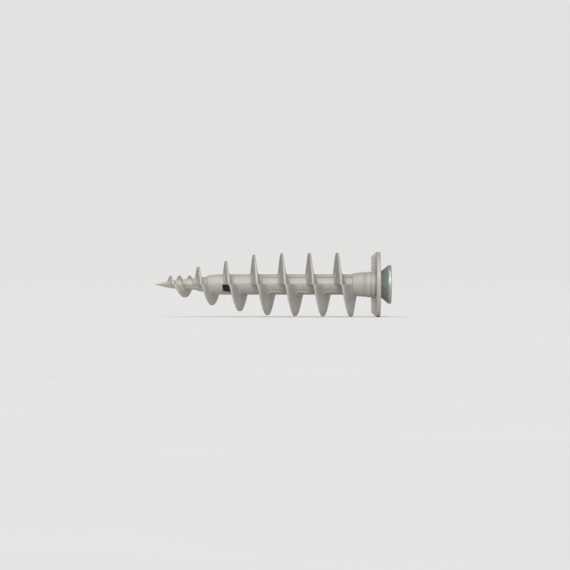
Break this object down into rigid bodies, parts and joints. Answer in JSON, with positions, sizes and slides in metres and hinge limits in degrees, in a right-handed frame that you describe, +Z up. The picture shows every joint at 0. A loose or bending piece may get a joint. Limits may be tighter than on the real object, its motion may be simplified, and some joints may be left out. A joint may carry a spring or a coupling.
{
  "type": "wall anchor",
  "caption": "Self-drilling spiral wall anchor with a pointed tip, tapering cutting spiral, flange, and a countersunk screw that draws out of its bore.",
  "frame": {"origin": "centre of the flange's front face, which lies flush with the finished wall surface", "axes": "+X along the screw axis, out of the wall; the drill tip points to -X; +Z up"},
  "size_m": [0.0944, 0.026, 0.026],
  "materials": {
    "moulded_nylon": "as-moulded, glass-filled, satin",
    "coated_steel": "dark zinc-flake coating, satin"
  },
  "bodies": {
    "anchor": {"anchor_body": "moulded_nylon"},
    "screw": {"screw": "coated_steel"}
  },
  "joints": [
    {"name": "screw_withdraw", "type": "slide", "parent": "anchor", "child": "screw", "axis": [1, 0, 0], "range_m": [0, 0.06]}
  ]
}
